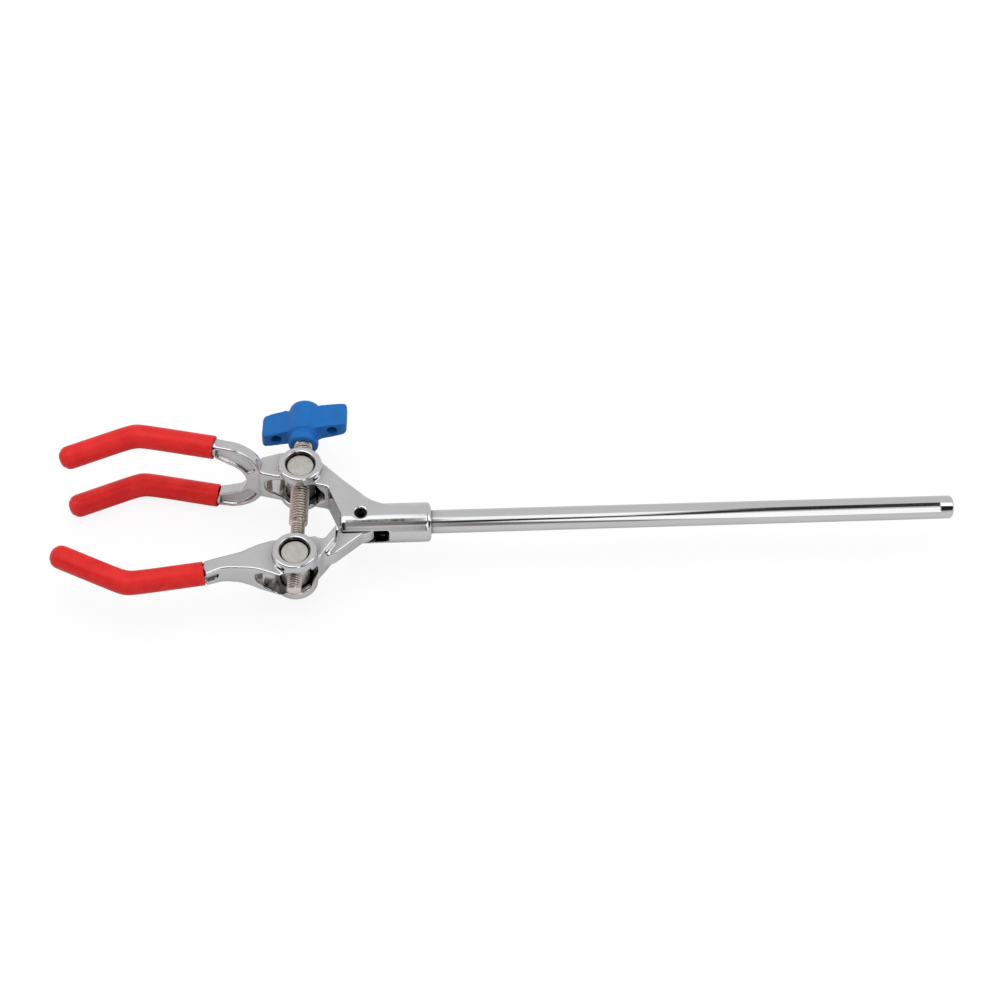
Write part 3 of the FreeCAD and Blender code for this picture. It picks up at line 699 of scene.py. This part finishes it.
@dataclass(kw_only=True)
class WingKnob(RefinedSolid):
    """The moulded knob: its nose as a collar under a shoulder, and wings that stay full to the ends."""

    frame: HingeFrame
    linkage: Linkage = LINKAGE
    tilt: float = 16.0
    nose_start: float = 18.3
    nose_length: float = 6.2
    nose_radii: tuple[float, float] = (5.1, 7.2)
    collar_radii: tuple[float, ...] = (5.9, 6.5, 6.7, 6.5, 5.9, 5.9, 7.2)
    collar_places: tuple[float, ...] = (0.0, 0.10, 0.32, 0.58, 0.72, 0.86, 1.0)
    bore: float = 4.3
    wing_middle: float = 30.4
    wing_from: float = 6.5
    wing_reach: float = 11.7
    fuller_depth: float = 0.06
    fuller_thickness: float = 0.28
    lift: float = 1.1
    lift_from: float = 6.2
    lift_reach: float = 1.6
    longer: float = 0.065
    wing_half: float = 5.0

    def reshape(self, points: np.ndarray) -> np.ndarray:
        """Fills out, lifts and squares the wings, and turns the nose's cone into a collar.

        With u along the screw, s along the wings and t across them, f rises smoothly from 0 at
        the hub to 1 at a wing's end; u moves away from the wing's middle by the share
        fuller_depth f and t grows by fuller_thickness f. The wings' upper half rises by up to
        lift, and s grows by the share longer f and by t tan(tilt) f, so the ends stand upright
        and further out. On the nose a distance r from the axis becomes
        r + (collar(u) - cone(u)) g, where g rises from 0 at the bore to 1 at the cone's surface.

        Args:
            points: The cells' points, in metres.

        Returns:
            The moved points.
        """
        tilt = math.radians(self.tilt)
        axis = self.linkage.axis()
        side = np.array([axis[1], -axis[0], 0.0])
        up = np.array([0.0, 0.0, 1.0])
        wing = side * math.cos(tilt) + up * math.sin(tilt)
        across = up * math.cos(tilt) - side * math.sin(tilt)
        start = self.frame.metres(self.linkage.upper())
        local = (points - start) / MM
        u, s, t = local @ axis, local @ wing, local @ across
        share = eased(np.abs(s), self.wing_from, self.wing_reach)
        near = eased(np.abs(s), self.lift_from, self.lift_reach)
        above = np.clip((u - self.wing_middle) / self.wing_half, 0, 1)
        u = self.wing_middle + (u - self.wing_middle) * (1 + self.fuller_depth * share)
        u = u + self.lift * near * above
        t = t * (1 + self.fuller_thickness * share)
        s = s * (1 + self.longer * share) + t * math.tan(tilt) * share
        place = (u - self.nose_start) / self.nose_length
        cone = self.nose_radii[0] + (self.nose_radii[1] - self.nose_radii[0]) * np.clip(place, 0, 1)
        collar = np.interp(place, self.collar_places, self.collar_radii)
        far = np.maximum(np.hypot(s, t), LEAST_DISTANCE)
        grown = (collar - cone) * np.clip((far - self.bore) / (cone - self.bore), 0, 1) * (place < 1)
        s, t = s * (1 + grown / far), t * (1 + grown / far)
        return start + (u[:, None] * axis + s[:, None] * wing + t[:, None] * across) * MM


@dataclass
class TurnedSolid:
    """A turned or rolled piece kept at its solid's shape, with smooth round faces."""

    node: str
    body: str
    slot: str
    finish: SatinSteel | BrightPlate
    end_inset: float = 0.0
    end_from: float = 8.0
    flat_angle: float = 1.0
    sharp_angle: float = 30.0

    def sink_ends(self, mesh: bpy.types.Mesh) -> None:
        """Moves each end in along Z: z becomes z - sign(z) inset wherever |z| is past end_from.

        Args:
            mesh: The merged copy of the solid.
        """
        points = np.empty(len(mesh.vertices) * 3)
        mesh.vertices.foreach_get("co", points)
        points = points.reshape(-1, 3)
        outer = np.abs(points[:, 2]) > self.end_from * MM
        points[:, 2] -= np.sign(points[:, 2]) * outer * self.end_inset * MM
        mesh.vertices.foreach_set("co", points.reshape(-1))
        mesh.update()

    def build(self) -> bpy.types.Object:
        """Joins the solid's triangles, dissolves its flat faces and breaks its sharp edges.

        Returns:
            The finished piece.
        """
        mesh = joined_copy(self.node, "_turned", self.flat_angle)
        self.sink_ends(mesh)
        piece = new_object(self.node + "_finished", mesh)
        mesh.set_sharp_from_angle(angle=math.radians(self.sharp_angle))
        return fitted(piece, self.finish.build(), self.node, self.body)


@dataclass
class SupportRod:
    """The bright round rod with its chamfered free end and the spigot in the socket.

    outer_cut and inner_cut place the cuts of the chamfer's two corners, along the rod and across
    it, as shares of chamfer_round.
    """

    frame: HingeFrame
    radius: float = 5.0
    spigot_radius: float = 4.5
    mouth: float = 29.7
    free_length: float = 226.4
    seat_depth: float = 16.0
    chamfer: float = 0.7
    chamfer_round: float = 0.15
    outer_cut: tuple[float, float] = (0.5, 0.7)
    inner_cut: tuple[float, float] = (0.6, 0.4)
    mouth_gap: float = 0.01
    sharp_angle: float = 40.0
    rows: int = 40
    segments: int = 192

    def build(self) -> bpy.types.Object:
        """The rod as one turned surface.

        The profile runs from the spigot's end to the free end. The chamfer's two corners are
        each cut once more, so that they catch the light as a broken edge does.

        Returns:
            The finished piece.
        """
        end = self.mouth + self.free_length
        soft = self.chamfer_round
        cut = self.chamfer
        along = np.linspace(self.mouth + self.mouth_gap, end - cut - soft, self.rows)
        profile = np.vstack([
            [[self.mouth - self.seat_depth, 0.0], [self.mouth - self.seat_depth, self.spigot_radius]],
            [[self.mouth, self.spigot_radius], [self.mouth, self.radius]],
            np.column_stack([along, np.full(along.size, self.radius)]),
            [[end - cut + soft * self.outer_cut[0], self.radius - soft * self.outer_cut[1]]],
            [[end - soft * self.inner_cut[0], self.radius - cut + soft * self.inner_cut[1]]],
            [[end, self.radius - cut - soft], [end, 0.0]],
        ])
        rings = turned_rings(profile, np.zeros(3), np.array([1.0, 0.0, 0.0]), self.segments)
        piece = new_object("support_rod_finished", lofted("support_rod", self.frame.metres(rings)))
        piece.data.set_sharp_from_angle(angle=math.radians(self.sharp_angle))
        return fitted(piece, ROD_PLATE.build(), "support_rod", "fixed_side")


@dataclass(frozen=True)
class ThreadRun:
    """One threaded length of the screw: where it lies along the axis, and its form."""

    start: float
    stop: float
    radius: float
    pitch: float
    hand: Hand
    fade: float = 0.35

    def depth(self) -> float:
        """The thread's depth, a fixed share of its pitch."""
        return THREAD_DEPTH * self.pitch

    def radii(self, along: np.ndarray, angles: np.ndarray) -> np.ndarray:
        """The surface's radius at each place along the axis and each angle round it.

        The thread is a rounded V: its radius falls from the crest by the depth times
        (1 - |cos(pi u)|^k), with k the roundness and u the turns counted along the axis plus or
        minus the angle, and the depth fades to nothing at both ends of the run.

        Args:
            along: Distances along the axis, as a column.
            angles: Angles round the axis, as a row.

        Returns:
            The radii, shaped (places, angles).
        """
        turns = along / self.pitch + self.hand.value * angles / (2 * math.pi)
        valley = 1 - np.abs(np.cos(math.pi * turns)) ** THREAD_ROUNDNESS
        rise = np.clip(np.minimum(along - self.start, self.stop - along) / self.fade, 0, 1)
        return self.radius - self.depth() * valley * rise


@dataclass
class AdjustingScrew:
    """The screw, with a coarse left-hand thread at the knob and a right-hand one at its tip."""

    frame: HingeFrame
    linkage: Linkage = LINKAGE
    thick: float = 4.0
    thin: float = 3.0
    top: float = 32.3
    plain_top: float = 14.6
    step: float = -22.9
    step_length: float = 0.9
    tip: float = -58.33
    tip_chamfer: float = 0.8
    sharp_angle: float = 60.0
    segments: int = 88
    rows_per_turn: int = 16

    def mark_valleys(self, mesh: bpy.types.Mesh) -> None:
        """Keeps on each point how deep it lies: (outer radius - its distance from the axis) / depth.

        Args:
            mesh: The screw's mesh, in metres.
        """
        points = np.empty(len(mesh.vertices) * 3)
        mesh.vertices.foreach_get("co", points)
        local = (points.reshape(-1, 3) - self.frame.metres(self.linkage.upper())) / MM
        axis = self.linkage.axis()
        along = local @ axis
        far = np.linalg.norm(local - along[:, None] * axis, axis=1)
        coarse = along > self.step - self.step_length / 2
        fine = np.where(along > self.tip + self.tip_chamfer, self.thin, 0.0)
        outer = np.where(coarse, self.thick, fine)
        depth = np.where(coarse, THREAD_DEPTH * PITCH_COARSE, THREAD_DEPTH * PITCH_FINE)
        # This depth is the mask for the painted shade in the thread's valleys.
        valley = mesh.attributes.new("valley", "FLOAT", "POINT")
        valley.data.foreach_set("value", np.clip((outer - far) / depth, 0, 1).astype(np.float32))

    def build(self) -> bpy.types.Object:
        """The screw as one surface r(s, a), with its ends closed to points.

        Returns:
            The finished piece.
        """
        coarse = ThreadRun(
            self.step, self.top - self.plain_top, self.thick, PITCH_COARSE, Hand.LEFT
        )
        fine = ThreadRun(
            self.tip + self.tip_chamfer, self.step - self.step_length, self.thin,
            PITCH_FINE, Hand.RIGHT,
        )
        angles = np.linspace(0, 2 * math.pi, self.segments, endpoint=False)
        stretches = []
        for run in (fine, coarse):
            count = round((run.stop - run.start) / run.pitch * self.rows_per_turn)
            along = np.linspace(run.start, run.stop, count)
            stretches.append((along, run.radii(along[:, None], angles[None, :])))
        ends = np.ones(self.segments)
        along = np.concatenate([
            [self.tip, self.tip], stretches[0][0], stretches[1][0], [self.top, self.top]
        ])
        radii = np.vstack([
            ends * 0, ends * (self.thin - self.tip_chamfer),
            stretches[0][1], stretches[1][1], ends * self.thick, ends * 0,
        ])
        profile = np.column_stack([along, np.ones(along.size)])
        origin, axis = self.linkage.upper(), self.linkage.axis()
        unit = turned_rings(profile, origin, axis, self.segments)
        centres = origin + along[:, None] * axis
        rings = centres[:, None, :] + (unit - centres[:, None, :]) * radii[:, :, None]
        mesh = lofted("adjusting_screw", self.frame.metres(rings))
        piece = new_object("adjusting_screw_finished", mesh)
        self.mark_valleys(piece.data)
        piece.data.set_sharp_from_angle(angle=math.radians(self.sharp_angle))
        return fitted(piece, SCREW_STEEL.build(), "adjusting_screw", "screw")


@dataclass
class FingerSleeve:
    """A soft sleeve on a finger: a bent tube, open and trimmed by hand at one end.

    trim_waves are the trim's waves, each a number round the sleeve and a height. skin_waves are
    the skin's, each a number round the sleeve and a length along it for each radian.
    """

    frame: HingeFrame
    node: str
    body: str
    start: tuple[float, float]
    way: float
    turn: Turn
    first_run: float
    end_run: float
    height: float
    seed: int
    bend: float = 36.0
    corner_width: float = 2.8
    corner_reach: float = 3.0
    radius: float = 5.0
    wall: float = 1.02
    mouth_depth: float = 5.0
    lip_inset: float = 0.4
    lip_turn: tuple[float, float] = (0.15, 0.95)
    lip_gap: float = 0.05
    cap_power: float = 2.4
    cap_ring: float = 0.74
    cap_groove: float = 0.22
    groove_width: float = 0.07
    groove_sink: float = 0.5
    trim_fade: float = 3.0
    trim_mean: float = 0.30
    trim_waves: tuple[tuple[int, float], ...] = ((2, 0.16), (5, 0.12), (9, 0.10))
    skin_waves: tuple[tuple[int, float], ...] = ((3, 6.0), (2, -9.0))
    wave_share: float = 0.005
    mouth_rows: int = 8
    lip_rows: int = 7
    outside_rows: int = 150
    cap_rows: int = 40
    segments: int = 96

    def placed(self, along: np.ndarray, radius: np.ndarray, around: np.ndarray) -> np.ndarray:
        """Points of the tube by distance along it, distance from its centre line and angle round it.

        Both runs are straight, and the line of each angle turns at the mitre plane between
        them, at M. With u the distance from that plane, d1 and d2 the runs' directions and w
        the corner's width, the point is M + d1 (u - q) / 2 + d2 (u + q) / 2, where
        q = sqrt(u^2 + w^2). Away from the corner the rings stand square to the runs.

        Args:
            along: Distances from the open end.
            radius: Distances from the centre line.
            around: Angles from the left of the way, towards +Z.

        Returns:
            The points, with a last axis of 3.
        """
        swing = math.radians(self.bend) * self.turn.value
        first = math.radians(self.way)
        before = np.array([math.cos(first), math.sin(first), 0.0])
        after = np.array([math.cos(first + swing), math.sin(first + swing), 0.0])
        left = np.array([-before[1], before[0], 0.0])
        corner = np.array([*self.start, self.height]) + self.first_run * before
        across = radius * np.cos(around)
        lean = -across * math.tan(swing / 2)
        past = along - self.first_run
        past = past + lean * past / np.sqrt(past ** 2 + self.corner_reach ** 2)
        bent = np.sqrt(past ** 2 + self.corner_width ** 2)
        points = corner + across[..., None] * left + lean[..., None] * before
        points = points + (past - bent)[..., None] / 2 * before + (past + bent)[..., None] / 2 * after
        return points + (radius * np.sin(around))[..., None] * np.array([0.0, 0.0, 1.0])

    def length(self) -> float:
        """The length of the two runs."""
        return self.first_run + self.end_run

    def profile(self) -> np.ndarray:
        """Rows of (distance from the open end, radius, share of the trim's unevenness).

        The profile starts inside the bore, turns over the rounded lip, follows the outside and
        closes with a dome, r = R (1 - t^p)^(1/p) with p the cap's power, over the last radius of
        the length, with a shallow ring pressed into it.

        Returns:
            The rows, with a last axis of 3.
        """
        inner, outer = self.radius - self.wall, self.radius
        inset, power = self.lip_inset, self.cap_power
        depth = np.linspace(self.mouth_depth, inset, self.mouth_rows)
        inside = np.column_stack([depth, np.full(depth.size, inner), 1 - depth / self.mouth_depth])
        lip_angle = np.linspace(self.lip_turn[0] * math.pi, self.lip_turn[1] * math.pi, self.lip_rows)
        middle, half = (inner + outer) / 2, self.wall / 2
        lip = np.column_stack([
            inset - inset * np.sin(lip_angle), middle - half * np.cos(lip_angle), np.ones(lip_angle.size)
        ])
        out = np.linspace(inset + self.lip_gap, self.length() - self.radius, self.outside_rows)
        fade = np.clip(1 - out / self.trim_fade, 0, 1)
        outside = np.column_stack([out, np.full(out.size, outer), fade])
        t = np.sin(np.linspace(0, math.pi / 2, self.cap_rows))[1:]
        closing = outer * np.clip(1 - t ** power, 0, 1) ** (1 / power)
        ring = (closing / outer - self.cap_ring) / self.groove_width
        groove = self.cap_groove * np.exp(-ring ** 2)
        dome = np.column_stack([
            self.length() - self.radius + t * self.radius - groove,
            closing - groove * self.groove_sink,
            np.zeros(t.size),
        ])
        dome[-1, 1] = 0.0
        return np.vstack([[[self.mouth_depth, 0.0, 0.0]], inside, lip, outside, dome])

    def build(self) -> bpy.types.Object:
        """Carries the profile's rings along the bent centre line.

        The trim moves the lip along the finger by a few sines of the angle. The outside's radius
        is R (1 - c (1 + w / 2)), with c the waves' share and w the sum of two slow sines, as
        dipped vinyl has.

        Returns:
            The finished piece.
        """
        rows = self.profile()
        angles = np.linspace(0, 2 * math.pi, self.segments, endpoint=False)
        draws = len(self.trim_waves) + len(self.skin_waves)
        phase = np.random.default_rng(self.seed).uniform(0, 2 * math.pi, draws)
        trim = np.full(angles.size, self.trim_mean)
        for (count, height), shift in zip(self.trim_waves, phase):
            trim = trim + height * np.sin(count * angles + shift)
        along = np.clip(rows[:, :1] + rows[:, 2:] * trim[None, :], 0, None)
        around = np.broadcast_to(angles[None, :], along.shape)
        waves = sum(
            np.sin(count * around + along / length + shift)
            for (count, length), shift in zip(self.skin_waves, phase[len(self.trim_waves):])
        )
        points = self.placed(along, rows[:, 1:2] * (1 - self.wave_share * (1 + waves / 2)), around)
        piece = new_object(self.node + "_vinyl", lofted(self.node, self.frame.metres(points)))
        return fitted(piece, SLEEVE_VINYL.build(), self.node, self.body)


@dataclass(frozen=True)
class StudioPanel:
    """A panel, flag or wall of the studio that bright metal mirrors.

    A direction is given by its angle, in degrees from the horizon behind the clamp up over the
    top, and by its X part. low and high are the panel's edges in angle at the two X parts in
    between, and the panel reaches from left to right in X part.
    """

    level: float
    low: tuple[float, float]
    high: tuple[float, float]
    between: tuple[float, float] = (0.0, 0.1)
    left: float = -2.0
    right: float = 2.0
    warmth: float = 0.0
    soft: float = 2.5
    side_soft: float = 0.012

    def over(self, nodes: Nodes, angle: object, across: object, below: object) -> bpy.types.NodeSocket:
        """The studio's colour with this panel in front of what is there already.

        Args:
            nodes: The world's nodes.
            angle: The direction's angle.
            across: The direction's X part.
            below: The colour so far.

        Returns:
            The colour output.
        """
        share = None
        for sign, edges in ((1, self.low), (-1, self.high)):
            edge = nodes.rise(across, *self.between, *edges)
            past = nodes.math("MULTIPLY", nodes.math("SUBTRACT", angle, edge), sign)
            inside = nodes.rise(past, -self.soft, self.soft)
            share = inside if share is None else nodes.math("MULTIPLY", share, inside)
        for edge, sign in ((self.left, 1), (self.right, -1)):
            reach = self.side_soft * sign
            share = nodes.math("MULTIPLY", share, nodes.rise(across, edge - reach, edge + reach))
        colour = (self.level, self.level * (1 - self.warmth / 2), self.level * (1 - self.warmth), 1)
        return nodes.mixed(share, below, colour)


# The walls, the softbox overhead, the brown panel and the dark flags that the rod and the socket
# mirror come first, and those that only the jaws and the rod's far end mirror come last.
PANELS = (
    StudioPanel(0.53, (150, 150), (181, 181)),
    StudioPanel(1.22, (78, 90), (107, 119), (0.0525, 0.0545), right=0.195, soft=4.0),
    StudioPanel(0.25, (118, 126), (140, 182), (0.0525, 0.0545), left=0.0, right=0.10, warmth=0.15),
    StudioPanel(0.16, (150, 166), (168, 178), (0.08, 0.15), left=0.075, right=0.165),
    StudioPanel(0.015, (101, 101), (118, 118), left=0.0, right=0.0535, soft=1.5, side_soft=0.0015),
    StudioPanel(0.025, (121, 78), (141, 114), (0.15, 0.22), left=0.048, right=0.36),
    StudioPanel(1.25, (142, 126), (146, 176), (0.08, 0.21), left=0.078, right=0.36),
    StudioPanel(1.60, (80, 80), (114, 114), right=-0.012),
    StudioPanel(1.60, (80, 80), (114, 114), left=0.34),
    StudioPanel(0.015, (116, 116), (164, 164), right=-0.012),
    StudioPanel(0.015, (116, 116), (164, 164), left=0.34),
)


@dataclass
class Studio:
    """The white floor, the soft light and the camera of the photograph."""

    frame: HingeFrame
    floor_z: float
    lens: float = 70.12
    sensor: float = 36.0
    eye: Colour = (-11.69, -492.12, 665.81)
    forward: Colour = (0.08589, 0.60013, -0.79527)
    up: Colour = (0.02780, 0.79647, 0.60404)
    near_clip: float = 0.01
    lamp_size: tuple[float, float] = (1.6, 1.0)
    lamp_place: Colour = (0.1, 0.25, 1.3)
    lamp_tilt: float = -10.0
    floor_size: float = 12.0
    floor_mirrored: float = 0.62
    floor_glow: float = 0.87
    sky_level: float = 0.83
    key_power: float = 6.5
    backdrop: float = 0.635

    def build_camera(self) -> None:
        """Sets the camera where the photograph was taken from."""
        data = bpy.data.cameras.new("camera")
        data.lens = self.lens
        data.sensor_width = self.sensor
        data.clip_start = self.near_clip
        camera = bpy.data.objects.new("camera", data)
        forward, up = Vector(self.forward).normalized(), Vector(self.up).normalized()
        right = forward.cross(up).normalized()
        turn = Matrix((right, right.cross(forward), -forward)).transposed()
        place = Matrix.Translation(Vector(self.frame.metres(np.array(self.eye))))
        camera.matrix_world = place @ turn.to_4x4()
        bpy.context.scene.collection.objects.link(camera)
        bpy.context.scene.camera = camera

    def build_floor(self) -> None:
        """Lays a plane that the camera sees as white, with the clamp's soft shadow on it."""
        half = self.floor_size / 2
        corners = [(-half, -half), (half, -half), (half, half), (-half, half)]
        mesh = bpy.data.meshes.new("floor")
        mesh.from_pydata([(x, y, self.floor_z) for x, y in corners], [], [(0, 1, 2, 3)])
        floor = new_object("floor", mesh)
        material = bpy.data.materials.new("white_floor")
        material.use_nodes = True
        material.node_tree.nodes.clear()
        nodes = Nodes(material.node_tree)
        seen = nodes.add("LightPath").outputs["Is Camera Ray"]
        mirrored = (self.floor_mirrored, self.floor_mirrored, self.floor_mirrored, 1)
        matt = nodes.add("BsdfDiffuse", {"Color": nodes.mixed(seen, mirrored, (1, 1, 1, 1))})
        white = nodes.add("Emission")
        mix = nodes.add("MixShader", {
            "Fac": nodes.math("MULTIPLY", seen, self.floor_glow),
            1: matt.outputs["BSDF"],
            2: white.outputs["Emission"],
        })
        nodes.add("OutputMaterial", {"Surface": mix.outputs["Shader"]})
        mesh.materials.append(material)

    def build_light(self) -> None:
        """Sets a wide soft lamp overhead, and an even sky that metal mirrors as the studio."""
        lamp = bpy.data.lights.new("softbox", "AREA")
        lamp.shape = "RECTANGLE"
        lamp.size, lamp.size_y = self.lamp_size
        lamp.energy = self.key_power
        softbox = bpy.data.objects.new("softbox", lamp)
        softbox.location = Vector(self.lamp_place) + Vector((self.frame.x * MM, 0, 0))
        softbox.rotation_euler = (math.radians(self.lamp_tilt), 0, 0)
        softbox.visible_glossy = False
        softbox.visible_camera = False
        bpy.context.scene.collection.objects.link(softbox)

        world = bpy.data.worlds.new("studio")
        bpy.context.scene.world = world
        world.use_nodes = True
        world.node_tree.nodes.clear()
        nodes = Nodes(world.node_tree)
        way = nodes.add("TexCoord").outputs["Generated"]
        parts = nodes.add("SeparateXYZ", {"Vector": way}).outputs
        turned = nodes.math("ARCTAN2", parts["Z"], parts["Y"])
        angle = nodes.math("MULTIPLY", turned, math.degrees(1))
        colour = (self.backdrop, self.backdrop, self.backdrop, 1)
        for panel in PANELS:
            colour = panel.over(nodes, angle, parts["X"], colour)
        mirrored = nodes.add("Background", {"Color": colour})
        even = nodes.add("Background", {"Color": (1, 1, 1, 1), "Strength": self.sky_level})
        white = nodes.add("Background", {"Color": (1, 1, 1, 1)})
        path = nodes.add("LightPath").outputs
        lit = nodes.add("MixShader", {
            "Fac": path["Is Glossy Ray"], 1: even.outputs["Background"], 2: mirrored.outputs["Background"],
        })
        seen = nodes.add("MixShader", {
            "Fac": path["Is Camera Ray"], 1: lit.outputs["Shader"], 2: white.outputs["Background"],
        })
        nodes.add("OutputWorld", {"Surface": seen.outputs["Shader"]})
        bpy.context.scene.view_settings.view_transform = "Standard"

    def build(self) -> None:
        """Builds the floor, the light and the camera."""
        self.build_floor()
        self.build_light()
        self.build_camera()
        LOG.info("studio set")


def clamp_pieces(frame: HingeFrame) -> list[Buildable]:
    """Every piece of the clamp, in the order in which they are built.

    Args:
        frame: The hinge frame.

    Returns:
        The pieces, each ready to be built.
    """
    fork = {
        "frame": frame, "body": "fixed_side", "start": (-60.5, 29.9), "way": 180 - 13.3,
        "turn": Turn.TOWARDS_KNOB, "first_run": 34.5, "end_run": 33.4,
    }
    # Each jaw's plate gets painted shade round the mouth of its trunnion's bore.
    fixed_plate, moving_plate = (
        replace(CASTING, name=f"bright_plate_{name}", bores=((frame.x + bore[0], bore[1]),))
        for name, bore in (("fixed_jaw", LINKAGE.upper()), ("moving_jaw", LINKAGE.lower()))
    )
    return [
        RefinedSolid(
            "fixed_fork_jaw", "fixed_side", "plated_casting", fixed_plate, voxel=0.27, rounding=1.05
        ),
        RefinedSolid(
            "moving_jaw", "moving_side", "plated_casting", moving_plate, voxel=0.25, rounding=1.05
        ),
        SupportRod(frame),
        TurnedSolid("pivot_pin", "fixed_side", "spring_steel", PIN_STEEL),
        TurnedSolid("upper_trunnion", "upper_swivel", "satin_nickel", TRUNNION_STEEL, end_inset=1.2),
        TurnedSolid("lower_trunnion", "lower_swivel", "satin_nickel", TRUNNION_STEEL, end_inset=1.2),
        AdjustingScrew(frame),
        WingKnob(
            "wing_knob", "knob", "blue_plastic", KNOB_PLASTIC, voxel=0.25, rounding=0.80, frame=frame
        ),
        FingerSleeve(node="upper_finger_sleeve", height=16.8, seed=3, **fork),
        FingerSleeve(node="lower_finger_sleeve", height=-16.8, seed=8, **fork),
        FingerSleeve(
            frame, "single_finger_sleeve", "moving_side", start=(-65.2, -23.2), way=180 + 7.7,
            turn=Turn.AWAY_FROM_KNOB, first_run=32.1, end_run=35.3, height=0.0, seed=5,
        ),
    ]


def main() -> None:
    """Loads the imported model, builds every piece around it and notes the sizes."""
    logging.basicConfig(level=logging.INFO, format="%(name)s: %(message)s")
    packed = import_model()
    frame = HingeFrame.of(packed["joints"])
    for piece in clamp_pieces(frame):
        piece.build()
    low = min(corner[2] for corner in (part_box(node)[0] for node in packed["nodes"]))
    Studio(frame, low).build()


if __name__ == "__main__":
    main()
